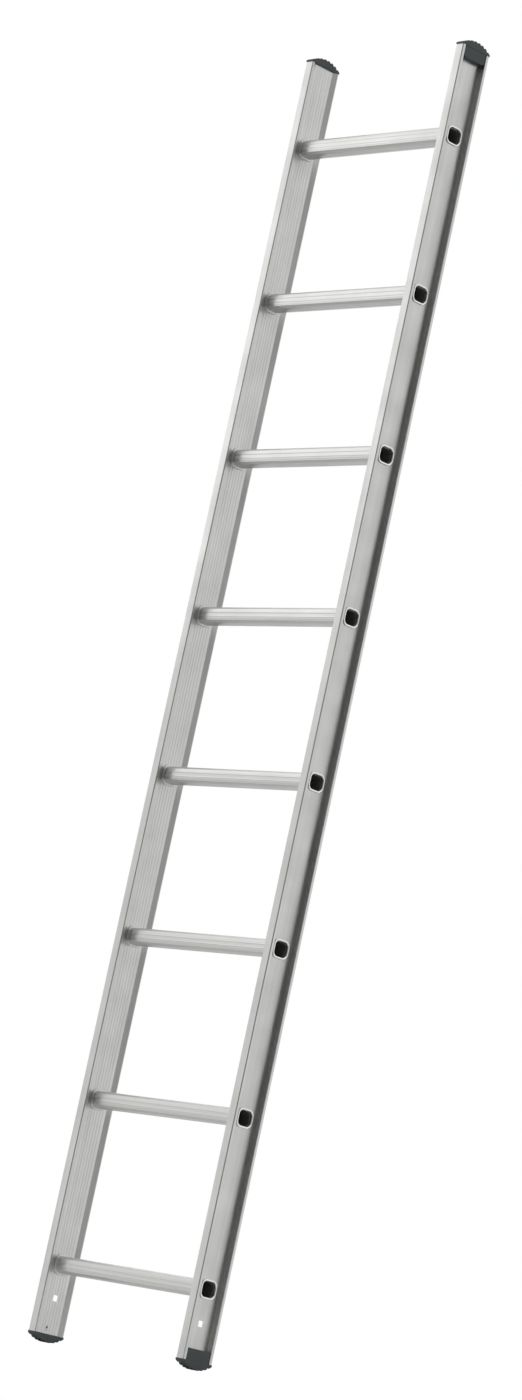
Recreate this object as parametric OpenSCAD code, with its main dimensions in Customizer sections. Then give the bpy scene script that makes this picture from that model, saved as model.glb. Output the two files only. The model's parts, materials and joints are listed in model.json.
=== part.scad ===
// Single-section aluminium rung ladder: two open stiles, hollow rungs swaged into them, and four
// end caps. Lengths are in millimetres. X runs across the ladder, the climber stands at -Y and
// Z runs up the stiles. The origin lies midway between the two feet, at the bottom of their soles.

/* [Ladder] */
// Number of rungs
rung_count = 8; // [2:1:12]
// Distance from one rung to the next
rung_pitch = 280; // [240:5:300]
// Clear width between the stiles
clear_width = 346; // [280:2:450]
// Stile length below the middle of the lowest rung
foot_length = 116; // [95:1:180]
// Stile length above the middle of the top rung
head_length = 152; // [60:1:240]

/* [Stile section] */
// Front-to-rear depth of a stile
stile_depth = 65; // [58:0.5:90]
// Width of the front and rear faces, across the ladder
stile_width = 17; // [15:0.5:26]
// Wall of the web and of the sloping strips beside it
web_wall = 1.8; // [1.2:0.1:2.4]
// Wall of the front and rear faces
flange_wall = 2.2; // [1.6:0.1:3]
// Front-to-rear thickness of the lips at the open side
lip_depth = 6.5; // [4:0.5:8]
// Width of a lip's straight inner face
lip_width = 3.5; // [2:0.5:5]
// How far the web lies behind the stile's inner edges
trough_depth = 4; // [2:0.5:5]
// Flat land between a rounded corner's face and the sloping strip
edge_land = 2.5; // [2.2:0.1:4]
// Radius of the section's rounded corners
corner_r = 2; // [0.5:0.1:2]
// Number of fine ribs along the web
rib_count = 6; // [2:2:6]
// Distance from one fine rib to the next
rib_pitch = 6; // [4:0.5:7]
// Height of a fine rib on the rung side of the web
rib_height = 0.3; // [0.1:0.05:0.6]

/* [Rung] */
// Front-to-rear size of the rung's tube
rung_depth = 31; // [26:0.5:34]
// Height of the rung's tube
rung_height = 28; // [26:0.5:36]
// Corner radius of the rung's tube
rung_corner_r = 9; // [6:0.5:12]
// Wall of the rung's tube
rung_wall = 1.6; // [1.2:0.1:2.5]
// Distance between the two anti-slip ridges on each flat of the tube
ridge_pitch = 7; // [4:0.5:8]
// Height of a ridge
ridge_height = 0.4; // [0.2:0.05:0.8]
// Half the width of a ridge's rounded top
ridge_r = 1; // [0.8:0.1:1.5]
// How far the swaged bead reaches out round the tube, inside the stiles
bead_reach = 3.2; // [2:0.1:4]
// Thickness of the bead along the rung
bead_thick = 2.2; // [1.2:0.1:3]
// How far the flared end reaches out round the tube, in the stile's channel
flare_reach = 2; // [1:0.1:3]
// Thickness of the flared end along the rung
flare_thick = 2.4; // [1.2:0.1:4]
// Flat of the web left free on each side of a bead
bead_margin = 2.3; // [0.5:0.1:4]
// Clearance round the tube in the web's hole, and round the bead in the ribs
swage_fit = 0.3; // [0.2:0.05:0.5]

/* [End caps] */
// How far a cap stands out past the stile's front and rear faces
cap_overhang = 0.8; // [0:0.1:2]
// Height of a cap's straight edge
cap_edge = 3; // [2:0.5:8]
// Height of the rounded sole below that edge
cap_crown = 11; // [5:0.5:14]
// Number of lugs along a sole
lug_count = 8; // [4:1:12]
// Radius of the grooves between the lugs
groove_r = 2; // [0.8:0.1:2.4]
// Height of the tongue that holds a cap in the stile
tongue_length = 19; // [15:1:30]
// How far the tongue's face lies behind the stile's open edge
tongue_inset = 0.8; // [0.2:0.1:2]
// Clearance round the tongue in the stile's channel
tongue_fit = 0.4; // [0.2:0.1:0.8]
// Gap between the tongue's face and the stile's lips
face_gap = 1; // [0.4:0.1:2]

/* [Holes] */
// Side of the square fixing hole in each web
hole_size = 10; // [6:0.5:14]
// Drop of the square hole below the lowest rung
hole_drop = 56; // [40:1:62]
// Width of the latch window of a foot
latch_width = 4.5; // [4:0.5:8]
// Height of the latch window
latch_height = 5; // [4:0.5:9]
// Rise of the latch window above the stile's lower end
latch_rise = 9; // [5:0.5:12]
// Distance of the latch window in front of the web's middle
latch_offset = 5.5; // [4:0.5:14]
// Clearance of the foot's barb in the latch window
latch_fit = 0.3; // [0.2:0.05:0.5]
// How far the barb's tip lies behind the web's rung side
barb_sink = 0.6; // [0:0.1:1]

/* [Hidden] */
$fn = 48;
aluminium = "#c9cac8";
cap_plastic = "#3c4041";

// Overrun of a cut past the face that it opens
overrun = 1;

// Heights of the stiles' ends and of each rung
cap_height = cap_edge + cap_crown;
stile_length = foot_length + (rung_count - 1) * rung_pitch + head_length;
stile_foot_z = cap_height;
stile_head_z = stile_foot_z + stile_length;
function rung_z(i) = stile_foot_z + foot_length + (i - 1) * rung_pitch;

// Stile section: widths run out from the inner edges, depths from the middle of the web
half_depth = stile_depth / 2;
half_land = half_depth - edge_land;
half_flat = rung_depth / 2 + bead_reach + bead_margin;
strip_angle = atan2(trough_depth, half_land - half_flat);
floor_w = trough_depth + web_wall;
half_floor = half_flat + web_wall * tan(strip_angle / 2);
half_channel = half_depth - flange_wall;
corner_w = web_wall / cos(strip_angle) + (flange_wall - edge_land) * tan(strip_angle);
half_mouth = half_depth - lip_depth;
lip_back_w = stile_width - lip_width;
lip_root_w = lip_back_w - (lip_depth - flange_wall);
rib_r = web_wall / 2;

// Rung stations along X, from the ladder's middle
bead_x = clear_width / 2 + trough_depth;
flare_x = bead_x + web_wall;
rung_half = flare_x + flare_thick;
ridge_half = bead_x - bead_thick;

// Cap: the sole is an arc through both edges
cap_depth = stile_depth + 2 * cap_overhang;
sole_r = (pow(cap_depth / 2, 2) + pow(cap_crown, 2)) / (2 * cap_crown);
lug_angle = 2 * asin(cap_depth / 2 / sole_r) / lug_count;
tongue_back_w = floor_w + tongue_fit;
tongue_face_w = stile_width - tongue_inset;
tongue_side_w = lip_root_w - tongue_fit;
half_tongue = half_channel - tongue_fit;
half_face = half_mouth - face_gap;
tongue_heel_w = tongue_back_w - (half_tongue - half_floor) * tan(strip_angle);
barb_tip_w = trough_depth + barb_sink;

// Points of one half of an outline, followed by their mirror images
function both_halves(points) =
    concat(points, [for (i = [len(points) - 1:-1:0]) [points[i][0], -points[i][1]]]);

// Turns a drawing so that its x runs along Y and its y along Z, extruded along X
module along_x() {
    rotate([90, 0, 90]) children();
}

module rounded_rect(width, height, r) {
    square([width - 2 * r, height], center = true);
    square([width, height - 2 * r], center = true);
    for (sx = [-1, 1], sy = [-1, 1])
        translate([sx * (width / 2 - r), sy * (height / 2 - r)]) circle(r);
}

// The rung's outline, grown on every side
module rung_outline(growth) {
    rounded_rect(rung_depth + 2 * growth, rung_height + 2 * growth, rung_corner_r + growth);
}

// Section of the right-hand stile: x out from its inner edges, y from front to rear
module stile_section() {
    difference() {
        translate([stile_width / 2, 0]) rounded_rect(stile_width, stile_depth, corner_r);
        polygon(both_halves([
            [-overrun, half_land],
            [0, half_land],
            [trough_depth, half_flat]
        ]));
        polygon(both_halves([
            [stile_width + overrun, half_mouth],
            [lip_back_w, half_mouth],
            [lip_root_w, half_channel],
            [corner_w, half_channel],
            [floor_w, half_floor]
        ]));
    }
    for (i = [1:rib_count])
        translate([trough_depth - rib_height + rib_r, (i - (rib_count + 1) / 2) * rib_pitch])
            circle(rib_r);
}

// Hole for a rung, with the ribs cut away to a flat seat for its bead
module rung_hole() {
    along_x() {
        linear_extrude(stile_width) rung_outline(swage_fit);
        translate([0, 0, trough_depth - rib_height - overrun])
            linear_extrude(rib_height + overrun) rung_outline(bead_reach + swage_fit);
    }
}

// Latch window, or the barb in it when drawn with an inset
module latch_shape(inset) {
    translate([-latch_offset, latch_rise]) polygon([
        [inset * 2 - latch_width / 2, inset],
        [latch_width / 2 - inset * 2, inset],
        [0, latch_height - inset * 3]
    ]);
}

// Right-hand stile, set against the clear width
module stile() {
    color(aluminium) translate([clear_width / 2, 0, 0]) difference() {
        translate([0, 0, stile_foot_z]) linear_extrude(stile_length) stile_section();
        for (i = [1:rung_count]) translate([0, 0, rung_z(i)]) rung_hole();
        translate([0, -hole_size / 2, rung_z(1) - hole_drop - hole_size / 2])
            cube([stile_width, hole_size, hole_size]);
        translate([0, 0, stile_foot_z]) along_x() linear_extrude(stile_width) latch_shape(0);
    }
}

// Hollow rung with ridges between its beads; each end is swaged over the web
module rung(i) {
    color(aluminium) translate([0, 0, rung_z(i)]) along_x() difference() {
        union() {
            linear_extrude(2 * rung_half, center = true) rung_outline(0);
            linear_extrude(2 * ridge_half, center = true) rung_ridges();
            for (side = [0, 1]) mirror([0, 0, side]) {
                translate([0, 0, ridge_half]) linear_extrude(bead_thick) rung_outline(bead_reach);
                translate([0, 0, flare_x]) linear_extrude(flare_thick) rung_outline(flare_reach);
            }
        }
        linear_extrude(2 * (rung_half + overrun), center = true) rung_outline(-rung_wall);
    }
}

// Rounded tops of the ridges: two on each flat and two round each corner of the tube
module rung_ridges() {
    sink = ridge_r - ridge_height;
    for (side = [-1, 1], place = [-ridge_pitch / 2, ridge_pitch / 2]) {
        translate([side * (rung_depth / 2 - sink), place]) circle(ridge_r);
        translate([place, side * (rung_height / 2 - sink)]) circle(ridge_r);
    }
    for (sx = [-1, 1], sy = [-1, 1], turn = [30, 60])
        translate([
            sx * (rung_depth / 2 - rung_corner_r + (rung_corner_r - sink) * cos(turn)),
            sy * (rung_height / 2 - rung_corner_r + (rung_corner_r - sink) * sin(turn))
        ]) circle(ridge_r);
}

// Side view of a sole, with its upper face at zero
module sole_outline() {
    difference() {
        intersection() {
            translate([0, sole_r - cap_height]) circle(sole_r, $fn = 180);
            translate([-cap_depth / 2, -cap_height]) square([cap_depth, cap_height]);
        }
        for (i = [1:lug_count - 1])
            translate([0, sole_r - cap_height])
                rotate((i - lug_count / 2) * lug_angle) translate([0, -sole_r]) circle(groove_r);
    }
}

// Section of the tongue: it follows the channel behind the lips, and its face lies between them
module tongue_section() {
    polygon(both_halves([
        [tongue_face_w, half_face],
        [tongue_side_w, half_face],
        [tongue_side_w, half_tongue],
        [tongue_heel_w, half_tongue],
        [tongue_back_w, half_floor]
    ]));
}

// Cap for the lower end of the right-hand stile, with the stile's end at zero
module end_cap() {
    intersection() {
        along_x() linear_extrude(stile_width) sole_outline();
        translate([stile_width / 2, 0, -cap_height])
            linear_extrude(cap_height) rounded_rect(stile_width, cap_depth, corner_r);
    }
    translate([0, 0, -cap_edge]) linear_extrude(cap_edge + tongue_length) tongue_section();
}

// Foot: an end cap with a barb that snaps into the latch window
module foot() {
    color(cap_plastic) translate([clear_width / 2, 0, stile_foot_z]) {
        end_cap();
        translate([barb_tip_w, 0, 0])
            along_x() linear_extrude(tongue_back_w - barb_tip_w) latch_shape(latch_fit);
    }
}

// The same cap turned over on the upper end
module top_cap() {
    color(cap_plastic) translate([clear_width / 2, 0, stile_head_z]) mirror([0, 0, 1]) end_cap();
}

module stile_left() {
    mirror([1, 0, 0]) stile();
}

module foot_left() {
    mirror([1, 0, 0]) foot();
}

module top_cap_left() {
    mirror([1, 0, 0]) top_cap();
}

stile_left();
stile();  // stile_right
foot_left();
foot();  // foot_right
top_cap_left();
top_cap();  // top_cap_right
for (i = [1:rung_count])
    rung(i);
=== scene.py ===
"""Looks of a straight aluminium rung ladder, built round its fixed frame."""

import json
import math

import bmesh
import bpy
from mathutils import Euler, Matrix, Vector


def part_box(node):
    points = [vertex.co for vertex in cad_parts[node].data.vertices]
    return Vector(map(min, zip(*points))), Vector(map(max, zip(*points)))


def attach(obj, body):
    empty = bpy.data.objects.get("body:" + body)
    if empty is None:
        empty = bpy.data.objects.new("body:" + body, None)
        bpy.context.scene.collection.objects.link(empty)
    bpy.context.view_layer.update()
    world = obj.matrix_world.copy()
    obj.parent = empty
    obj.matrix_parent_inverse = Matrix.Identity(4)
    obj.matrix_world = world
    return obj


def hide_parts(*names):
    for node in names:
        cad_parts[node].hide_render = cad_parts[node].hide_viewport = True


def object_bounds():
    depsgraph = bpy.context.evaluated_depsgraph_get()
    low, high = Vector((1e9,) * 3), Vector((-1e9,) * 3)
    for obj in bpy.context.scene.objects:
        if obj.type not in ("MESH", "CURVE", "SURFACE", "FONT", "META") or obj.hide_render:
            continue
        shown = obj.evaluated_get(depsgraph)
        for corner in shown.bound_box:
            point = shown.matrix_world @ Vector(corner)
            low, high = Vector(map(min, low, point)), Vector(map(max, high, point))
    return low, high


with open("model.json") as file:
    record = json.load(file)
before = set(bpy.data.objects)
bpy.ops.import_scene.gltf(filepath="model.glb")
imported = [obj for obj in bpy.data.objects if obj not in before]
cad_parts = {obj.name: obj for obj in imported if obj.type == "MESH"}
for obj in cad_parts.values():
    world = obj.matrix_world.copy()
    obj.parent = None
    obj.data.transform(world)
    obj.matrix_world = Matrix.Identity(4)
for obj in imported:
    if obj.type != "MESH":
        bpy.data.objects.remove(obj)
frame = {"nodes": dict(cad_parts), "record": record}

CAD_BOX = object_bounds()

bl_info = {
    "name": "Rung Ladder Looks",
    "version": (1, 0, 0),
    "blender": (4, 5, 0),
    "location": "3D View > Sidebar > Ladder",
    "description": "Builds the stiles, rungs and end caps of a straight aluminium ladder on its frame",
    "category": "Object",
}

# Units and the places that the frame gives
MM = 0.001
SIDES = {"left": -1, "right": 1}
RUNG_NODES = sorted(
    (name for name in frame["nodes"] if name.startswith("rung_")),
    key=lambda name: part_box(name)[0].z,
)
STILE_LOW, STILE_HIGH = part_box("stile_right")
FOOT_LOW, FOOT_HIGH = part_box("foot_right")
SQUARE_HOLE = next(m for m in frame["record"]["mounts"] if m["name"] == "square_hole_right")

# Fineness of the meshes
ARC_STEP = math.radians(15)
SHARP_EDGE = math.radians(34)
LUG_STEPS = 16
ROUND_STEPS = 4
BEAD_STEPS = 6
DIMPLE_SIDES = 20
DIMPLE_RINGS = 12
FLOOR_SIDES = 96
# Least share by which the inset of a sharp corner is divided
MITRE_LIMIT = 0.5

# Axes of the frame, as numbers and as directions
ALONG_X, ALONG_Z = 0, 2
X_AXIS = (1, 0, 0)
Z_AXIS = (0, 0, 1)

# Numbers of a rung's second and third material; the second, the bore, has dull oxide and a colour darker
# than the tube's outside as painted shade of the hollow
BORE_OXIDE_AND_SHADE, RIM = 1, 2

# Places across a ridge, as shares of its half width, and across a corner or a gap between ridges
RIDGE_SHARES = (-1, -0.65, -0.3, 0, 0.3, 0.65, 1)
THIRD_SHARES = (1 / 3, 2 / 3)
# Shares of the flared rim's rounding: the ridge's stop before a bead, the bead's foot, the rounding of
# the tube's mouth, and the lip of that rounding that still has the rim's finish
RIDGE_STOP_SHARE = 3
BEAD_FOOT_SHARE = 0.3
MOUTH_SHARE = 2
MOUTH_LIP_SHARE = 0.2
# How far the dimple lies under the latch window, as a share of its radius
DIMPLE_DROP_SHARE = 0.8
# As multiples of the tongue's clearance: the clearances beside and over the barb in the latch window,
# and the reach of the barb's root past the web
BARB_SIDE_SHARE = 2
BARB_TIP_SHARE = 3
BARB_ROOT_SHARE = 2

# Real sizes of the patterns in the finishes
STREAK_WIDTH = 4 * MM
STREAK_LENGTH = 600 * MM
STREAK_DEPTH = 0.2 * MM
PATCH_SIZE = 60 * MM
BLOTCH_SIZE = 8 * MM
RUB_SIZE = 3 * MM
GRIT_SIZE = 0.8 * MM
GRIT_DEPTH = 0.1 * MM
FLOW_SIZE = 25 * MM
ROLLER_SIZE = 40 * MM
# The middle of a noise's range, which holds nearly all of it
NOISE_MIDDLE = {"From Min": 0.3, "From Max": 0.7}
# Range of a direction's part along an axis
COSINE_RANGE = {"From Min": -1.0, "From Max": 1.0}

# Share of the floor's radius that is painted fully
FLOOR_PAINT_SHARE = 1 / 3
# Width of the camera's sensor, in millimetres
SENSOR_WIDTH = 36
# Colour of the bare background
WHITE = (1, 1, 1, 1)
# Tones of the studio that the metal mirrors: (share of the way from the far wall to the camera, level)
ROOM_TONES = ((0.05, 1.2), (0.2, 0.88), (0.45, 0.9), (0.55, 0.95), (0.87, 0.5), (0.94, 0.1), (1.0, 0.01))
# Darkening towards the ground: (share of the way from straight down to straight up, level)
GROUND_TONES = ((0.38, 0.55), (0.5, 1.0))


def from_hex(code):
    """Linear colour of an sRGB hex value such as d8d9d7."""
    shares = [int(code[i:i + 2], 16) / 255 for i in (0, 2, 4)]
    return tuple(s / 12.92 if s <= 0.04045 else ((s + 0.055) / 1.055) ** 2.4 for s in shares)


def length(name, description, metres):
    """A length in metres, shown in the scene's units."""
    return bpy.props.FloatProperty(
        name=name, description=description, default=metres, precision=5, unit="LENGTH", subtype="DISTANCE"
    )


def colour(name, description, code):
    """A colour kept as linear light."""
    return bpy.props.FloatVectorProperty(
        name=name, description=description, default=from_hex(code), size=3, min=0, max=1, subtype="COLOR"
    )


class LadderStile(bpy.types.PropertyGroup):
    """Section of the stiles: widths run out from the inner edges, depths from the middle of the web."""

    width: length("Width", "Width of the front and rear faces", STILE_HIGH.x - STILE_LOW.x)
    depth: length("Depth", "Front-to-rear depth", STILE_HIGH.y - STILE_LOW.y)
    web_wall: length("Web wall", "Wall of the web and of the strips beside it", 1.8 * MM)
    flange_wall: length("Face wall", "Wall of the front and rear faces", 2.2 * MM)
    lip_depth: length("Lip depth", "Front-to-rear thickness of the lips", 6.5 * MM)
    lip_width: length("Lip width", "Width of a lip's straight inner face", 3.5 * MM)
    trough: length("Trough", "How far the web lies behind the inner edges", 4 * MM)
    edge_land: length("Edge land", "Flat land between a face and the sloping strip", 2.5 * MM)
    half_flat: length("Half flat", "Half the flat of the web between its bends", 21 * MM)
    corner_radius: length("Corner radius", "Radius of the rounded outer corners", 2 * MM)
    bend_radius: length("Bend radius", "Radius of the bends on the rung side", 2.5 * MM)
    floor_radius: length("Floor radius", "Radius of the bends in the channel's floor", 12 * MM)
    channel_radius: length("Channel radius", "Radius of the channel's corners", 3 * MM)
    edge_radius: length("Edge radius", "Radius of the lips' and lands' edges", 0.8 * MM)
    rib_count: bpy.props.IntProperty(name="Ribs", description="Fine ribs along the web", default=6, min=2)
    rib_pitch: length("Rib pitch", "Distance from one fine rib to the next", 6 * MM)
    rib_height: length("Rib height", "Height of a fine rib on the rung side of the web", 0.25 * MM)
    rib_foot: length("Rib foot", "Half the width of a rib at its foot", 1.3 * MM)
    rib_top: length("Rib top", "Half the width of a rib's top", 0.4 * MM)
    hole_size: length("Square hole", "Side of the square fixing hole", 10 * MM)
    latch_width: length("Latch width", "Width of the latch window of a foot", 4.5 * MM)
    latch_height: length("Latch height", "Height of the latch window", 5 * MM)
    latch_rise: length("Latch rise", "Rise of the latch window above the stile's end", 9 * MM)
    latch_offset: length("Latch offset", "Distance of the latch window in front of the middle", 5.5 * MM)
    dimple_size: length("Dimple", "Radius of the pressed dimple under the latch window", 2.4 * MM)
    dimple_height: length("Dimple height", "How far the dimple stands out of the web", 0.8 * MM)


class LadderRung(bpy.types.PropertyGroup):
    """Tube and swaged ends of the rungs."""

    depth: length("Depth", "Front-to-rear size of the tube", 31 * MM)
    height: length("Height", "Height of the tube", 28 * MM)
    corner_radius: length("Corner radius", "Corner radius of the tube", 9 * MM)
    wall: length("Wall", "Wall of the tube", 1.6 * MM)
    ridge_pitch: length("Ridge pitch", "Distance between the two ridges on each flat", 7 * MM)
    ridge_height: length("Ridge height", "Height of an anti-slip ridge", 0.4 * MM)
    ridge_half: length("Ridge half width", "Half the width of a ridge", 1.1 * MM)
    bead_thick: length("Bead thickness", "Thickness of the bead along the rung", 2.2 * MM)
    bead_reach: length("Bead reach", "How far the bead stands out round the tube", 3.2 * MM)
    fold_depth: length("Fold depth", "Depth of the groove that the bead leaves in the bore", 2.6 * MM)
    fold_wall: length("Fold wall", "Metal between that groove and each side of the bead", 0.3 * MM)
    fold_slant: length("Fold slant", "How far the groove narrows towards its bottom", 0.9 * MM)
    flare_reach: length("Flare reach", "How far the flared end stands out round the tube", 2 * MM)
    flare_thick: length("Flare thickness", "Thickness of the flared end along the rung", 2.4 * MM)
    flare_round: length("Flare rounding", "Radius of the flared end's rim", 0.9 * MM)
    hole_fit: length("Hole clearance", "Clearance of the tube in the web's hole", 0.3 * MM)


class LadderCap(bpy.types.PropertyGroup):
    """Moulded end caps."""

    depth: length("Depth", "Front-to-rear size of the sole", FOOT_HIGH.y - FOOT_LOW.y)
    edge: length("Edge", "Height of the straight edge", 3 * MM)
    crown: length("Crown", "Height of the rounded sole past that edge", 11 * MM)
    lug_count: bpy.props.IntProperty(name="Lugs", description="Lugs along the sole", default=8, min=2)
    groove_half: length("Groove half width", "Half the width of a groove between two lugs", 2.8 * MM)
    groove_depth: length("Groove depth", "Depth of a groove between two lugs", 2 * MM)
    tongue: length("Tongue", "Height of the tongue in the stile's channel", 19 * MM)
    tongue_inset: length("Tongue inset", "Depth of the tongue's face behind the open edge", 0.8 * MM)
    tongue_fit: length("Tongue clearance", "Clearance round the tongue", 0.4 * MM)
    tongue_corner: length("Tongue corner", "Radius of the tongue's lower corners", 4 * MM)
    face_gap: length("Face gap", "Gap between the tongue's face and the lips", 1 * MM)
    barb_sink: length("Barb sink", "How far the barb's tip lies behind the web", 0.6 * MM)
    rounding: length("Rounding", "Radius of the moulded edges", 0.7 * MM)


class LadderFinish(bpy.types.PropertyGroup):
    """Colours of the finishes; the bore's colour also holds painted shade."""

    aluminium: colour("Aluminium", "Mill-finish extruded aluminium", "dcdcda")
    # The bore is darker than the aluminium: dull oxide, and painted shade of the tube's hollow
    bore: colour("Bore", "Inside of the rung tubes", "a8a8a4")
    rim: colour("Rim", "Burnished rims of the rungs' flared ends", "f6f6f4")
    plastic: colour("Cap plastic", "Moulded plastic of the end caps", "3a4142")
    floor: colour("Floor", "Pale studio floor", "f0f0ef")


class LadderStage(bpy.types.PropertyGroup):
    """Camera and light."""

    camera_place: bpy.props.FloatVectorProperty(
        name="Camera place", description="Where the camera stands", default=(5.5253, -5.0293, -0.1811),
        size=3, unit="LENGTH", subtype="TRANSLATION",
    )
    azimuth: bpy.props.FloatProperty(
        name="Azimuth", description="Turn of the camera round the ladder",
        default=math.radians(47.6576), unit="ROTATION", subtype="ANGLE",
    )
    elevation: bpy.props.FloatProperty(
        name="Elevation", description="Height of the camera over the horizon",
        default=math.radians(-9.7828), unit="ROTATION", subtype="ANGLE",
    )
    roll: bpy.props.FloatProperty(
        name="Roll", description="Tilt of the camera about its own axis",
        default=math.radians(12.1723), unit="ROTATION", subtype="ANGLE",
    )
    lens: bpy.props.FloatProperty(name="Lens", description="Focal length in millimetres", default=117.01)
    floor_radius: length("Floor radius", "Where the floor has faded into the background", 2.4)
    softbox_place: bpy.props.FloatVectorProperty(
        name="Softbox place", description="Where the softbox stands", default=(-1.9, -0.9, 2.6),
        size=3, unit="LENGTH", subtype="TRANSLATION",
    )
    softbox_width: length("Softbox width", "Width of the softbox", 2.4)
    softbox_height: length("Softbox height", "Height of the softbox", 2.0)
    softbox_level: bpy.props.FloatProperty(
        name="Softbox level", description="Brightness of the softbox, where 1 is white",
        default=0.42, min=0,
    )
    fill_level: bpy.props.FloatProperty(
        name="Fill level", description="Brightness of the even light, where 1 is white",
        default=0.75, min=0,
    )


def add_node(tree, kind, settings=None, links=None):
    """Adds a node, sets its properties, ramp stops and sockets, and links other nodes to it."""
    node = tree.nodes.new(kind)
    for name, value in (settings or {}).items():
        if name == "stops":
            while len(node.color_ramp.elements) < len(value):
                node.color_ramp.elements.new(1)
            for element, (position, level) in zip(node.color_ramp.elements, value):
                element.position = position
                element.color = (level, level, level, 1)
        elif isinstance(name, str) and hasattr(node, name):
            setattr(node, name, value)
        else:
            node.inputs[name].default_value = value
    for name, output in (links or {}).items():
        tree.links.new(output, node.inputs[name])
    return node


def new_material(name):
    """An empty node material and its output node."""
    material = bpy.data.materials.new(name)
    material.use_nodes = True
    material.node_tree.nodes.clear()
    return material, material.node_tree, add_node(material.node_tree, "ShaderNodeOutputMaterial")


def extruded_aluminium(base, run):
    """Mill-finish extruded aluminium: bright satin metal, streaked by the die along its run."""
    material, tree, output = new_material(f"extruded_aluminium_{'xyz'[run]}")
    # Die lines are far finer than a pixel, so the streaks are drawn coarse enough to show
    scale = [1 / (STREAK_LENGTH if axis == run else STREAK_WIDTH) for axis in range(3)]
    place = add_node(tree, "ShaderNodeTexCoord")
    stretched = add_node(tree, "ShaderNodeMapping", {"Scale": scale}, {"Vector": place.outputs["Object"]})
    streaks = add_node(
        tree, "ShaderNodeTexNoise", {"Scale": 1.0, "Detail": 3.0, "Roughness": 0.6},
        {"Vector": stretched.outputs["Vector"]},
    )
    # Handling leaves soft patches
    patches = add_node(
        tree, "ShaderNodeTexNoise", {"Scale": 1 / PATCH_SIZE, "Detail": 2.0},
        {"Vector": place.outputs["Object"]},
    )
    tone = add_node(
        tree, "ShaderNodeMapRange", {**NOISE_MIDDLE, "To Min": 0.9, "To Max": 1.0},
        {"Value": streaks.outputs["Fac"]},
    )
    tinted = add_node(
        tree, "ShaderNodeMix", {"data_type": "RGBA", "blend_type": "MULTIPLY", 0: 1.0, 6: (*base, 1)},
        {7: tone.outputs["Result"]},
    )
    satin = add_node(
        tree, "ShaderNodeMapRange", {**NOISE_MIDDLE, "To Min": 0.3, "To Max": 0.4},
        {"Value": patches.outputs["Fac"]},
    )
    grain = add_node(
        tree, "ShaderNodeBump", {"Strength": 0.05, "Distance": STREAK_DEPTH},
        {"Height": streaks.outputs["Fac"]},
    )
    # The die lines spread the gloss across the run and leave it sharp along it
    line = add_node(tree, "ShaderNodeCombineXYZ", {run: 1.0})
    metal = add_node(
        tree, "ShaderNodeBsdfPrincipled",
        {"Metallic": 1.0, "Anisotropic": 0.7, "Anisotropic Rotation": 0.25},
        {
            "Base Color": tinted.outputs[2], "Roughness": satin.outputs["Result"],
            "Normal": grain.outputs["Normal"], "Tangent": line.outputs["Vector"],
        },
    )
    tree.links.new(metal.outputs["BSDF"], output.inputs["Surface"])
    return material


def oxide_and_shade_bore(base):
    """Unpolished bore of a drawn tube: dull, oxidised metal, coloured darker than the tube's outside as
    painted shade of the hollow, which goes dark a little way in.
    """
    material, tree, output = new_material("oxide_and_shade_bore")
    place = add_node(tree, "ShaderNodeTexCoord")
    # Blotches of oxide
    blotches = add_node(
        tree, "ShaderNodeTexNoise", {"Scale": 1 / BLOTCH_SIZE, "Detail": 3.0},
        {"Vector": place.outputs["Object"]},
    )
    tone = add_node(
        tree, "ShaderNodeMapRange", {"To Min": 0.7, "To Max": 1.0}, {"Value": blotches.outputs["Fac"]}
    )
    tinted = add_node(
        tree, "ShaderNodeMix", {"data_type": "RGBA", "blend_type": "MULTIPLY", 0: 1.0, 6: (*base, 1)},
        {7: tone.outputs["Result"]},
    )
    metal = add_node(
        tree, "ShaderNodeBsdfPrincipled", {"Metallic": 1.0, "Roughness": 0.6},
        {"Base Color": tinted.outputs[2]},
    )
    tree.links.new(metal.outputs["BSDF"], output.inputs["Surface"])
    return material


def burnished_aluminium(base):
    """Aluminium rubbed bright by the swaging tool: smoother and lighter than the mill finish beside it."""
    material, tree, output = new_material("burnished_aluminium")
    place = add_node(tree, "ShaderNodeTexCoord")
    # Rubbing marks of the tool
    marks = add_node(
        tree, "ShaderNodeTexNoise", {"Scale": 1 / RUB_SIZE, "Detail": 2.0},
        {"Vector": place.outputs["Object"]},
    )
    tone = add_node(
        tree, "ShaderNodeMapRange", {"To Min": 0.94, "To Max": 1.0}, {"Value": marks.outputs["Fac"]}
    )
    tinted = add_node(
        tree, "ShaderNodeMix", {"data_type": "RGBA", "blend_type": "MULTIPLY", 0: 1.0, 6: (*base, 1)},
        {7: tone.outputs["Result"]},
    )
    gloss = add_node(
        tree, "ShaderNodeMapRange", {"To Min": 0.18, "To Max": 0.28}, {"Value": marks.outputs["Fac"]}
    )
    metal = add_node(
        tree, "ShaderNodeBsdfPrincipled", {"Metallic": 1.0},
        {"Base Color": tinted.outputs[2], "Roughness": gloss.outputs["Result"]},
    )
    tree.links.new(metal.outputs["BSDF"], output.inputs["Surface"])
    return material


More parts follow.
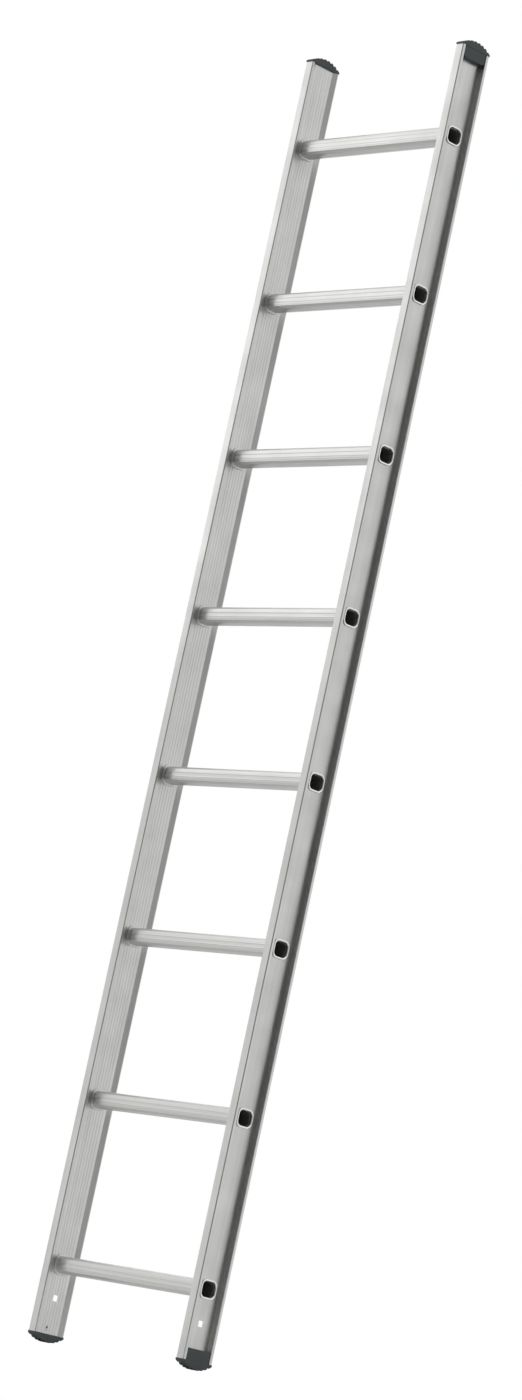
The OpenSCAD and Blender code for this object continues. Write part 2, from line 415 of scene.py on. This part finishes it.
def moulded_polypropylene(base):
    """Moulded polypropylene: dark, nearly matt, with the fine grain of a spark-eroded mould."""
    material, tree, output = new_material("moulded_polypropylene")
    place = add_node(tree, "ShaderNodeTexCoord")
    # The mould's grain, drawn coarser than it is so that it shows, and slow flow marks
    grit = add_node(
        tree, "ShaderNodeTexNoise", {"Scale": 1 / GRIT_SIZE, "Detail": 2.0},
        {"Vector": place.outputs["Object"]},
    )
    flow = add_node(
        tree, "ShaderNodeTexNoise", {"Scale": 1 / FLOW_SIZE, "Detail": 1.0},
        {"Vector": place.outputs["Object"]},
    )
    tone = add_node(
        tree, "ShaderNodeMapRange", {"To Min": 0.82, "To Max": 1.12}, {"Value": flow.outputs["Fac"]}
    )
    tinted = add_node(
        tree, "ShaderNodeMix", {"data_type": "RGBA", "blend_type": "MULTIPLY", 0: 1.0, 6: (*base, 1)},
        {7: tone.outputs["Result"]},
    )
    bump = add_node(
        tree, "ShaderNodeBump", {"Strength": 0.25, "Distance": GRIT_DEPTH}, {"Height": grit.outputs["Fac"]}
    )
    plastic = add_node(
        tree, "ShaderNodeBsdfPrincipled", {"Roughness": 0.55, "IOR": 1.49},
        {"Base Color": tinted.outputs[2], "Normal": bump.outputs["Normal"]},
    )
    tree.links.new(plastic.outputs["BSDF"], output.inputs["Surface"])
    return material


def studio_floor(base, radius):
    """Pale matt paint that fades out with distance, and lets the view through from below."""
    material, tree, output = new_material("studio_floor")
    place = add_node(tree, "ShaderNodeTexCoord")
    # Marks of the paint roller
    marks = add_node(
        tree, "ShaderNodeTexNoise", {"Scale": 1 / ROLLER_SIZE, "Detail": 2.0},
        {"Vector": place.outputs["Object"]},
    )
    tone = add_node(
        tree, "ShaderNodeMapRange", {"To Min": 0.985, "To Max": 1.0}, {"Value": marks.outputs["Fac"]}
    )
    tinted = add_node(
        tree, "ShaderNodeMix", {"data_type": "RGBA", "blend_type": "MULTIPLY", 0: 1.0, 6: (*base, 1)},
        {7: tone.outputs["Result"]},
    )
    paint = add_node(tree, "ShaderNodeBsdfDiffuse", {}, {"Color": tinted.outputs[2]})
    clear = add_node(tree, "ShaderNodeBsdfTransparent")
    distance = add_node(
        tree, "ShaderNodeVectorMath", {"operation": "LENGTH"}, {0: place.outputs["Object"]}
    )
    fade = add_node(
        tree, "ShaderNodeMapRange",
        {"interpolation_type": "SMOOTHSTEP", "From Min": radius * FLOOR_PAINT_SHARE, "From Max": radius},
        {"Value": distance.outputs["Value"]},
    )
    side = add_node(tree, "ShaderNodeNewGeometry")
    gone = add_node(
        tree, "ShaderNodeMath", {"operation": "MAXIMUM"},
        {0: fade.outputs["Result"], 1: side.outputs["Backfacing"]},
    )
    shown = add_node(
        tree, "ShaderNodeMixShader", {},
        {0: gone.outputs["Value"], 1: paint.outputs["BSDF"], 2: clear.outputs["BSDF"]},
    )
    tree.links.new(shown.outputs["Shader"], output.inputs["Surface"])
    return material


def rounded_path(corners, closed=False):
    """Points along corners (x, y, radius), with an arc at each corner that has a radius."""
    points = []
    count = len(corners)
    for i, (x, y, radius) in enumerate(corners):
        here = Vector((x, y))
        if radius <= 0 or (not closed and i in (0, count - 1)):
            points.append(here)
            continue
        before = (Vector(corners[i - 1][:2]) - here).normalized()
        after = (Vector(corners[(i + 1) % count][:2]) - here).normalized()
        half = before.angle(after) / 2
        centre = here + (before + after).normalized() * radius / math.sin(half)
        start = here + before * radius / math.tan(half) - centre
        end = here + after * radius / math.tan(half) - centre
        first = math.atan2(start.y, start.x)
        turn = (math.atan2(end.y, end.x) - first + math.pi) % (2 * math.pi) - math.pi
        steps = max(2, math.ceil(abs(turn) / ARC_STEP))
        for k in range(steps + 1):
            angle = first + turn * k / steps
            points.append(centre + radius * Vector((math.cos(angle), math.sin(angle))))
    return points


def inset_path(points, depth):
    """The closed path moved inwards by a depth, for a path that runs anticlockwise."""
    inner = []
    for i, here in enumerate(points):
        before = (here - points[i - 1]).normalized()
        after = (points[(i + 1) % len(points)] - here).normalized()
        mean = (before + after).normalized()
        stretch = max(MITRE_LIMIT, mean.dot(after))
        inner.append(here + Vector((-mean.y, mean.x)) * depth / stretch)
    return inner


def rounded_shares():
    """Shares (along, inset) of a rounded edge, from its end face to its side."""
    angles = [math.pi / 2 * k / ROUND_STEPS for k in range(ROUND_STEPS + 1)]
    return [(1 - math.cos(a), 1 - math.sin(a)) for a in angles]


def to_mesh(build, name):
    """A mesh of what was built; what it was built in is freed."""
    mesh = bpy.data.meshes.new(name)
    build.to_mesh(mesh)
    build.free()
    return mesh


def loft(rings, closed=False):
    """A mesh whose skin runs through rings of points; the ends of an open one are filled."""
    build = bmesh.new()
    rows = [[build.verts.new(point) for point in ring] for ring in rings]
    pairs = list(zip(rows, rows[1:])) + ([(rows[-1], rows[0])] if closed else [])
    for low, high in pairs:
        for i in range(len(low)):
            build.faces.new((low[i - 1], low[i], high[i], high[i - 1]))
    if not closed:
        build.faces.new(reversed(rows[0]))
        build.faces.new(rows[-1])
    bmesh.ops.recalc_face_normals(build, faces=build.faces)
    return to_mesh(build, "loft")


def with_modifier(mesh, kind, **settings):
    """The mesh after one modifier."""
    holder = bpy.data.objects.new("holder", mesh)
    bpy.context.scene.collection.objects.link(holder)
    modifier = holder.modifiers.new(kind.lower(), kind)
    for name, value in settings.items():
        setattr(modifier, name, value)
    depsgraph = bpy.context.evaluated_depsgraph_get()
    made = bpy.data.meshes.new_from_object(holder.evaluated_get(depsgraph), depsgraph=depsgraph)
    bpy.data.objects.remove(holder)
    return made


def combined(mesh, tool, operation):
    """The mesh joined with, or cut by, another mesh."""
    holder = bpy.data.objects.new("tool", tool)
    bpy.context.scene.collection.objects.link(holder)
    made = with_modifier(mesh, "BOOLEAN", object=holder, operation=operation, solver="EXACT")
    bpy.data.objects.remove(holder)
    return made


def mirrored(mesh, axis):
    """A mirror image of the mesh across the plane through the origin square to an axis."""
    image = mesh.copy()
    image.transform(Matrix.Scale(-1, 4, axis))
    image.flip_normals()
    return image


def moved(mesh, offset):
    """A copy of the mesh at another place."""
    copy = mesh.copy()
    copy.transform(Matrix.Translation(offset))
    return copy


def place_piece(name, mesh, node, slot, *materials):
    """Shows the mesh as a piece that stands for a node of the frame."""
    # Clearing the slots also clears which face has which material
    indices = [face.material_index for face in mesh.polygons]
    mesh.materials.clear()
    for material in materials:
        mesh.materials.append(material)
    mesh.polygons.foreach_set("material_index", indices)
    mesh.shade_smooth()
    mesh.set_sharp_from_angle(angle=SHARP_EDGE)
    finished = with_modifier(mesh, "WEIGHTED_NORMAL", mode="FACE_AREA", keep_sharp=True)
    finished.name = name
    piece = bpy.data.objects.new(name, finished)
    bpy.context.scene.collection.objects.link(piece)
    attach(piece, "root")
    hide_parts(node)


def channel_shape(s):
    """Slope of the strips beside the web, half the flat of the channel's floor, and the lips' root."""
    slope = math.atan2(s.trough, s.depth / 2 - s.edge_land - s.half_flat)
    half_floor = s.half_flat + s.web_wall * math.tan(slope / 2)
    lip_root = s.width - s.lip_width - (s.lip_depth - s.flange_wall)
    return slope, half_floor, lip_root


def stile_section(s):
    """Closed outline of the right-hand stile's section, from its inner edges outwards."""
    half = s.depth / 2
    slope, half_floor, lip_root = channel_shape(s)
    floor = s.trough + s.web_wall
    half_channel = half - s.flange_wall
    deep = s.web_wall / math.cos(slope) + (s.flange_wall - s.edge_land) * math.tan(slope)
    lip_back = s.width - s.lip_width
    ribs = [(k + 0.5) * s.rib_pitch for k in range(s.rib_count // 2)]

    corners = [(s.trough, 0, 0)]
    for middle in ribs:
        corners += [
            (s.trough, middle - s.rib_foot, s.rib_top),
            (s.trough - s.rib_height, middle - s.rib_top, s.rib_top),
            (s.trough - s.rib_height, middle + s.rib_top, s.rib_top),
            (s.trough, middle + s.rib_foot, s.rib_top),
        ]
    corners += [
        (s.trough, s.half_flat, s.bend_radius),
        (0, half - s.edge_land, s.edge_radius),
        (0, half, s.corner_radius),
        (s.width, half, s.corner_radius),
        (s.width, half - s.lip_depth, s.edge_radius),
        (lip_back, half - s.lip_depth, s.edge_radius),
        (lip_root, half_channel, s.edge_radius),
        (deep, half_channel, s.channel_radius),
        (floor, half_floor, s.floor_radius),
        (floor, 0, 0),
    ]
    rear = rounded_path(corners)
    front = [Vector((p.x, -p.y)) for p in reversed(rear[1:-1])]
    return rear + front


def rung_samples(r):
    """Places round the tube, each with its outward direction and its share of a ridge."""
    flat_y = r.depth / 2 - r.corner_radius
    flat_z = r.height / 2 - r.corner_radius
    quarter = r.corner_radius * math.pi / 2
    runs = [2 * flat_z, quarter, 2 * flat_y, quarter] * 2
    stops = []
    start = 0
    # Flats and corners take turns, and each has two ridges
    for i, run in enumerate(runs):
        if i % 2:
            middles = [start + run * share for share in THIRD_SHARES]
        else:
            middles = [start + run / 2 - r.ridge_pitch / 2, start + run / 2 + r.ridge_pitch / 2]
        for middle in middles:
            for share in RIDGE_SHARES:
                stops.append((middle + share * r.ridge_half, math.cos(share * math.pi / 2) ** 2))
        start += run
    total = start
    stops.sort()
    gaps = []
    for (here, _), (after, _) in zip(stops, stops[1:] + [(stops[0][0] + total, 0)]):
        if after - here > r.ridge_half:
            gaps += [(here + (after - here) * share, 0) for share in THIRD_SHARES]
    samples = []
    for stop, ridge in sorted(stops + gaps):
        point, out = rung_point(r, flat_y, flat_z, runs, stop % total)
        samples.append((point, out, ridge))
    return samples


def rung_point(r, flat_y, flat_z, runs, stop):
    """Point and outward direction at a distance round the tube, from the lower end of its rear flat."""
    corners = [(flat_y, flat_z), (-flat_y, flat_z), (-flat_y, -flat_z), (flat_y, -flat_z)]
    for i, run in enumerate(runs):
        if stop <= run or i == len(runs) - 1:
            break
        stop -= run
    turn = math.pi / 2 * (i // 2)
    side = Vector((math.cos(turn), math.sin(turn)))
    along = Vector((-side.y, side.x))
    corner = Vector(corners[i // 2])
    if i % 2:
        angle = turn + stop / r.corner_radius
        out = Vector((math.cos(angle), math.sin(angle)))
        return corner + out * r.corner_radius, out
    return corner + side * r.corner_radius - along * (run - stop), side


def rung_stations(r, s):
    """Stations of the rung's right half: (x, growth, ridge share), outside then inside."""
    seat = STILE_LOW.x + s.trough
    web_back = seat + s.web_wall
    rim = web_back + r.flare_thick
    bead_front = seat - r.bead_thick
    bead_round = r.bead_thick / 2
    soft = r.flare_round
    foot = soft * BEAD_FOOT_SHARE
    mouth = soft * MOUTH_SHARE
    outside = [(0, 0, 1), (bead_front - soft * RIDGE_STOP_SHARE, 0, 1), (bead_front - soft, 0, 0)]
    outside += [(bead_front - foot, foot, 0), (bead_front, soft, 0)]
    for k in range(BEAD_STEPS + 1):
        angle = math.pi * k / BEAD_STEPS
        outside.append((
            seat - bead_round - bead_round * math.cos(angle),
            r.bead_reach - bead_round + bead_round * math.sin(angle),
            0,
        ))
    outside += [(seat, 0, 0), (web_back, 0, 0), (web_back, r.flare_reach, 0)]
    outside += [(rim - inset * soft, r.flare_reach - along * soft, 0) for along, inset in rounded_shares()]
    inside = [(rim - along * mouth, inset * mouth - r.wall, 0) for along, inset in rounded_shares()]
    fold_mouth = bead_front + r.fold_wall
    inside += [
        (seat - r.fold_wall, -r.wall, 0),
        (seat - r.fold_wall, r.fold_depth - r.wall, 0),
        (fold_mouth + r.fold_slant, r.fold_depth - r.wall, 0),
        (fold_mouth, -r.wall, 0),
        (0, -r.wall, 0),
    ]
    return outside, inside


def rung_mesh(r, s):
    """One rung, lying along X through the origin, with the materials of the tube, the bore and the rims."""
    samples = rung_samples(r)
    outside, inside = rung_stations(r, s)
    left_outside = [(-x, growth, ridge) for x, growth, ridge in reversed(outside[1:])]
    left_inside = [(-x, growth, ridge) for x, growth, ridge in reversed(inside[:-1])]
    stations = left_outside + outside + inside + left_inside
    rings = []
    for x, growth, share in stations:
        ring = []
        for point, out, ridge in samples:
            place = point + out * (growth + share * ridge * r.ridge_height)
            ring.append((x, place.x, place.y))
        rings.append(ring)
    mesh = loft(rings, closed=True)
    rim_start = STILE_LOW.x + s.trough + s.web_wall
    for face in mesh.polygons:
        row = face.index // len(samples)
        ends = (stations[row], stations[(row + 1) % len(stations)])
        # Faces inside the tube take the bore's material, darkened with painted shade of the hollow
        if max(growth for _, growth, _ in ends) < r.flare_round * MOUTH_LIP_SHARE - r.wall:
            face.material_index = BORE_OXIDE_AND_SHADE
        elif min(abs(x) for x, _, _ in ends) > rim_start:
            face.material_index = RIM
    return mesh


def hole_tool(r):
    """Prism that cuts the web's hole for a rung, lying along X through the origin."""
    fit = r.hole_fit
    width, height = r.depth / 2 + fit, r.height / 2 + fit
    radius = r.corner_radius + fit
    ring = rounded_path([
        (width, -height, radius), (width, height, radius),
        (-width, height, radius), (-width, -height, radius),
    ], closed=True)
    return loft([[(x, p.x, p.y) for p in ring] for x in (STILE_LOW.x, STILE_HIGH.x)])


def window_tool(points):
    """Prism through the stile along X with the outline of the points (y, z)."""
    return loft([[(x, *point) for point in points] for x in (STILE_LOW.x, STILE_HIGH.x)])


def pressed_dimple(s):
    """Low dome pressed out of the web under the latch window."""
    build = bmesh.new()
    bmesh.ops.create_uvsphere(build, u_segments=DIMPLE_SIDES, v_segments=DIMPLE_RINGS, radius=1)
    size = Matrix.Diagonal((s.dimple_height + s.web_wall / 2, s.dimple_size, s.dimple_size, 1))
    place = Vector((
        STILE_LOW.x + s.trough + s.web_wall / 2,
        -s.latch_offset,
        STILE_LOW.z + s.latch_rise - s.dimple_size * DIMPLE_DROP_SHARE,
    ))
    bmesh.ops.transform(build, matrix=Matrix.Translation(place) @ size, verts=build.verts)
    return to_mesh(build, "dimple")


def latch_points(s, fit):
    """Corners (y, z) of the latch window above the stile's end, or of the barb in it with a clearance."""
    half = s.latch_width / 2 - fit * BARB_SIDE_SHARE
    foot = s.latch_rise + fit
    tip = s.latch_rise + s.latch_height - fit * BARB_TIP_SHARE
    return [(-s.latch_offset - half, foot), (-s.latch_offset + half, foot), (-s.latch_offset, tip)]


def stile_mesh(s, r):
    """The right-hand stile with its holes."""
    section = stile_section(s)
    mesh = loft([[(STILE_LOW.x + p.x, p.y, z) for p in section] for z in (STILE_LOW.z, STILE_HIGH.z)])
    tool = hole_tool(r)
    for node in RUNG_NODES:
        low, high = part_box(node)
        mesh = combined(mesh, moved(tool, Vector((0, 0, (low.z + high.z) / 2))), "DIFFERENCE")
    half = s.hole_size / 2
    middle = SQUARE_HOLE["pos_m"][2]
    square = [(-half, middle - half), (half, middle - half), (half, middle + half), (-half, middle + half)]
    mesh = combined(mesh, window_tool(square), "DIFFERENCE")
    mesh = combined(mesh, pressed_dimple(s), "UNION")
    latch = [(y, STILE_LOW.z + z) for y, z in latch_points(s, 0)]
    return combined(mesh, window_tool(latch), "DIFFERENCE")


def sole_path(c):
    """Side view of the lugged sole, anticlockwise in (y, z), with its upper face at zero."""
    half = c.depth / 2
    radius = (half * half + c.crown * c.crown) / (2 * c.crown)
    centre = radius - c.edge - c.crown
    reach = math.asin(half / radius)
    pitch = 2 * reach / c.lug_count
    steps = c.lug_count * LUG_STEPS
    points = [Vector((half, 0)), Vector((-half, 0))]
    for k in range(steps + 1):
        angle = -reach + 2 * reach * k / steps
        groove = round(k / LUG_STEPS)
        off = abs(k / LUG_STEPS - groove) * pitch * radius / c.groove_half
        depth = 0
        if 0 < groove < c.lug_count and off < 1:
            depth = c.groove_depth * (1 - off * off) ** 2
        points.append(Vector((math.sin(angle), -math.cos(angle))) * (radius - depth) + Vector((0, centre)))
    return points


def cap_mesh(c, s):
    """Cap of the right-hand stile's lower end: lugged sole and tongue, with the stile's end at zero."""
    path = sole_path(c)
    width = s.width
    rings = []
    for along, inset in rounded_shares():
        rings.append((along * c.rounding, inset * c.rounding))
    rings += [(width - along, inset) for along, inset in reversed(rings)]
    sole = loft([[(x, p.x, p.y) for p in inset_path(path, depth)] for x, depth in rings])
    return combined(sole, tongue_mesh(c, s), "UNION")


def tongue_mesh(c, s):
    """Tongue of a cap: it follows the stile's channel, and its face lies between the lips."""
    half = s.depth / 2
    slope, half_floor, lip_root = channel_shape(s)
    half_tongue = half - s.flange_wall - c.tongue_fit
    half_face = half - s.lip_depth - c.face_gap
    back = s.trough + s.web_wall + c.tongue_fit
    heel = back - (half_tongue - half_floor) * math.tan(slope)
    side = lip_root - c.tongue_fit
    face = s.width - c.tongue_inset
    soft = c.rounding
    section = rounded_path([
        (heel, -half_tongue, s.channel_radius), (side, -half_tongue, soft), (side, -half_face, 0),
        (face, -half_face, soft), (face, half_face, soft), (side, half_face, 0),
        (side, half_tongue, soft), (heel, half_tongue, s.channel_radius),
        (back, half_floor, 0), (back, -half_floor, 0),
    ], closed=True)
    levels = [(-c.edge, 0, 0)]
    for along, narrowing in reversed(rounded_shares()):
        levels.append((c.tongue - soft - along * c.tongue_corner, 0, narrowing * c.tongue_corner))
    for along, inset in reversed(rounded_shares()[:-1]):
        levels.append((c.tongue - along * soft, inset * soft, c.tongue_corner))
    rings = []
    for z, inset, narrowing in levels:
        share = 1 - narrowing / half_tongue
        rings.append([(p.x, p.y * share, z) for p in inset_path(section, inset)])
    return loft(rings)


def barb_mesh(s, c):
    """Barb on a foot's tongue that fills the latch window."""
    tip = s.trough + c.barb_sink
    root = s.trough + s.web_wall + c.tongue_fit * BARB_ROOT_SHARE
    ring = latch_points(s, c.tongue_fit)
    return loft([[(x, *point) for point in ring] for x in (tip, root)])


class LADDER_OT_build_stiles(bpy.types.Operator):
    """Builds the two stiles from their section"""

    bl_idname = "ladder.build_stiles"
    bl_label = "Build stiles"

    def execute(self, context):
        scene = context.scene
        material = extruded_aluminium(scene.ladder_finish.aluminium, ALONG_Z)
        right = stile_mesh(scene.ladder_stile, scene.ladder_rung)
        for side, sign in SIDES.items():
            mesh = right.copy() if sign > 0 else mirrored(right, X_AXIS)
            place_piece(f"{side}_stile_extrusion", mesh, f"stile_{side}", "aluminium", material)
        return {"FINISHED"}


class LADDER_OT_build_rungs(bpy.types.Operator):
    """Builds the ridged rungs with their swaged ends"""

    bl_idname = "ladder.build_rungs"
    bl_label = "Build rungs"

    def execute(self, context):
        scene = context.scene
        materials = (
            extruded_aluminium(scene.ladder_finish.aluminium, ALONG_X),
            oxide_and_shade_bore(scene.ladder_finish.bore),
            burnished_aluminium(scene.ladder_finish.rim),
        )
        mesh = rung_mesh(scene.ladder_rung, scene.ladder_stile)
        for node in RUNG_NODES:
            low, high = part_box(node)
            rung = moved(mesh, (low + high) / 2)
            place_piece(f"{node}_tube", rung, node, "aluminium", *materials)
        return {"FINISHED"}


class LADDER_OT_build_caps(bpy.types.Operator):
    """Builds the feet and the upper end caps"""

    bl_idname = "ladder.build_caps"
    bl_label = "Build end caps"

    def execute(self, context):
        scene = context.scene
        material = moulded_polypropylene(scene.ladder_finish.plastic)
        cap = cap_mesh(scene.ladder_cap, scene.ladder_stile)
        foot = combined(cap, barb_mesh(scene.ladder_stile, scene.ladder_cap), "UNION")
        foot = moved(foot, Vector((STILE_LOW.x, 0, STILE_LOW.z)))
        top = moved(mirrored(cap, Z_AXIS), Vector((STILE_LOW.x, 0, STILE_HIGH.z)))
        for side, sign in SIDES.items():
            for name, node, mesh in (("foot", "foot", foot), ("top", "top_cap", top)):
                made = mesh.copy() if sign > 0 else mirrored(mesh, X_AXIS)
                place_piece(f"{side}_{name}_moulding", made, f"{node}_{side}", "cap_plastic", material)
        return {"FINISHED"}


def studio_world(stage):
    """White studio that is darker on the camera's side, as the room behind a camera is."""
    world = bpy.data.worlds.new("studio")
    world.use_nodes = True
    tree = world.node_tree
    tree.nodes.clear()
    output = add_node(tree, "ShaderNodeOutputWorld")
    way = add_node(tree, "ShaderNodeTexCoord")
    camera_side = (math.sin(stage.azimuth), -math.cos(stage.azimuth), 0)
    facing = add_node(
        tree, "ShaderNodeVectorMath", {"operation": "DOT_PRODUCT", 1: camera_side},
        {0: way.outputs["Generated"]},
    )
    share = add_node(tree, "ShaderNodeMapRange", COSINE_RANGE, {"Value": facing.outputs["Value"]})
    tone = add_node(tree, "ShaderNodeValToRGB", {"stops": ROOM_TONES}, {"Fac": share.outputs["Result"]})
    height = add_node(tree, "ShaderNodeSeparateXYZ", {}, {"Vector": way.outputs["Generated"]})
    level = add_node(tree, "ShaderNodeMapRange", COSINE_RANGE, {"Value": height.outputs["Z"]})
    rise = add_node(tree, "ShaderNodeValToRGB", {"stops": GROUND_TONES}, {"Fac": level.outputs["Result"]})
    seen = add_node(
        tree, "ShaderNodeBackground", {},
        {"Color": tone.outputs["Color"], "Strength": rise.outputs["Color"]},
    )
    soft = add_node(tree, "ShaderNodeBackground", {"Color": WHITE, "Strength": stage.fill_level})
    white = add_node(tree, "ShaderNodeBackground", {"Color": WHITE, "Strength": 1.0})
    path = add_node(tree, "ShaderNodeLightPath")
    lit = add_node(
        tree, "ShaderNodeMixShader", {},
        {0: path.outputs["Is Glossy Ray"], 1: soft.outputs["Background"], 2: seen.outputs["Background"]},
    )
    straight = add_node(
        tree, "ShaderNodeMath", {"operation": "MAXIMUM"},
        {0: path.outputs["Is Camera Ray"], 1: path.outputs["Is Transmission Ray"]},
    )
    mixed = add_node(
        tree, "ShaderNodeMixShader", {},
        {0: straight.outputs["Value"], 1: lit.outputs["Shader"], 2: white.outputs["Background"]},
    )
    tree.links.new(mixed.outputs["Shader"], output.inputs["Surface"])
    return world


def place_camera(scene, stage):
    """Camera at the viewing angle of the stage's settings."""
    camera = bpy.data.objects.new("camera", bpy.data.cameras.new("camera"))
    camera.data.lens = stage.lens
    camera.data.sensor_width = SENSOR_WIDTH
    turn = Euler((math.pi / 2 - stage.elevation, 0, stage.azimuth)).to_matrix()
    turn = turn @ Matrix.Rotation(stage.roll, 3, "Z")
    camera.matrix_world = Matrix.Translation(stage.camera_place) @ turn.to_4x4()
    scene.collection.objects.link(camera)
    scene.camera = camera


def place_softbox(scene, stage):
    """Rectangular lamp that faces the ladder's middle line, level with the lamp."""
    lamp = bpy.data.lights.new("softbox", "AREA")
    lamp.shape = "RECTANGLE"
    lamp.size = stage.softbox_width
    lamp.size_y = stage.softbox_height
    lamp.energy = stage.softbox_level * math.pi * lamp.size * lamp.size_y
    softbox = bpy.data.objects.new("softbox", lamp)
    softbox.location = stage.softbox_place
    aim = Vector((0, 0, stage.softbox_place[2])) - softbox.location
    softbox.rotation_euler = aim.to_track_quat("-Z", "Y").to_euler()
    softbox.visible_camera = False
    scene.collection.objects.link(softbox)


def lay_floor(scene, stage):
    """Round floor at the lowest line of the soles."""
    build = bmesh.new()
    bmesh.ops.create_circle(build, cap_ends=True, segments=FLOOR_SIDES, radius=stage.floor_radius)
    mesh = to_mesh(build, "floor")
    mesh.materials.append(studio_floor(scene.ladder_finish.floor, stage.floor_radius))
    floor = bpy.data.objects.new("floor", mesh)
    floor.location.z = CAD_BOX[0].z
    scene.collection.objects.link(floor)


class LADDER_OT_set_stage(bpy.types.Operator):
    """Sets the camera, the light and the floor"""

    bl_idname = "ladder.set_stage"
    bl_label = "Set stage"

    def execute(self, context):
        scene = context.scene
        stage = scene.ladder_stage
        scene.view_settings.view_transform = "Standard"
        scene.world = studio_world(stage)
        place_camera(scene, stage)
        place_softbox(scene, stage)
        lay_floor(scene, stage)
        return {"FINISHED"}


class LADDER_PT_looks(bpy.types.Panel):
    """Lists the steps that build the ladder."""

    bl_idname = "LADDER_PT_looks"
    bl_label = "Rung ladder"
    bl_space_type = "VIEW_3D"
    bl_region_type = "UI"
    bl_category = "Ladder"

    def draw(self, context):
        for operator in OPERATORS:
            self.layout.operator(operator.bl_idname)
        for group in GROUPS:
            values = getattr(context.scene, group)
            box = self.layout.box()
            for name in values.bl_rna.properties.keys():
                if name not in {"rna_type", "name"}:
                    box.prop(values, name)


GROUPS = {
    "ladder_stile": LadderStile,
    "ladder_rung": LadderRung,
    "ladder_cap": LadderCap,
    "ladder_finish": LadderFinish,
    "ladder_stage": LadderStage,
}
OPERATORS = (
    LADDER_OT_build_stiles,
    LADDER_OT_build_rungs,
    LADDER_OT_build_caps,
    LADDER_OT_set_stage,
)


def register():
    """Registers the classes and hangs the settings on the scene."""
    for group, kind in GROUPS.items():
        bpy.utils.register_class(kind)
        setattr(bpy.types.Scene, group, bpy.props.PointerProperty(type=kind))
    for kind in (*OPERATORS, LADDER_PT_looks):
        bpy.utils.register_class(kind)


def unregister():
    """Takes back what register did."""
    for kind in (LADDER_PT_looks, *reversed(OPERATORS)):
        bpy.utils.unregister_class(kind)
    for group, kind in reversed(GROUPS.items()):
        delattr(bpy.types.Scene, group)
        bpy.utils.unregister_class(kind)


def main():
    """Builds the ladder and its stage."""
    register()
    bpy.ops.ladder.build_stiles()
    bpy.ops.ladder.build_rungs()
    bpy.ops.ladder.build_caps()
    bpy.ops.ladder.set_stage()


if __name__ == "__main__":
    main()
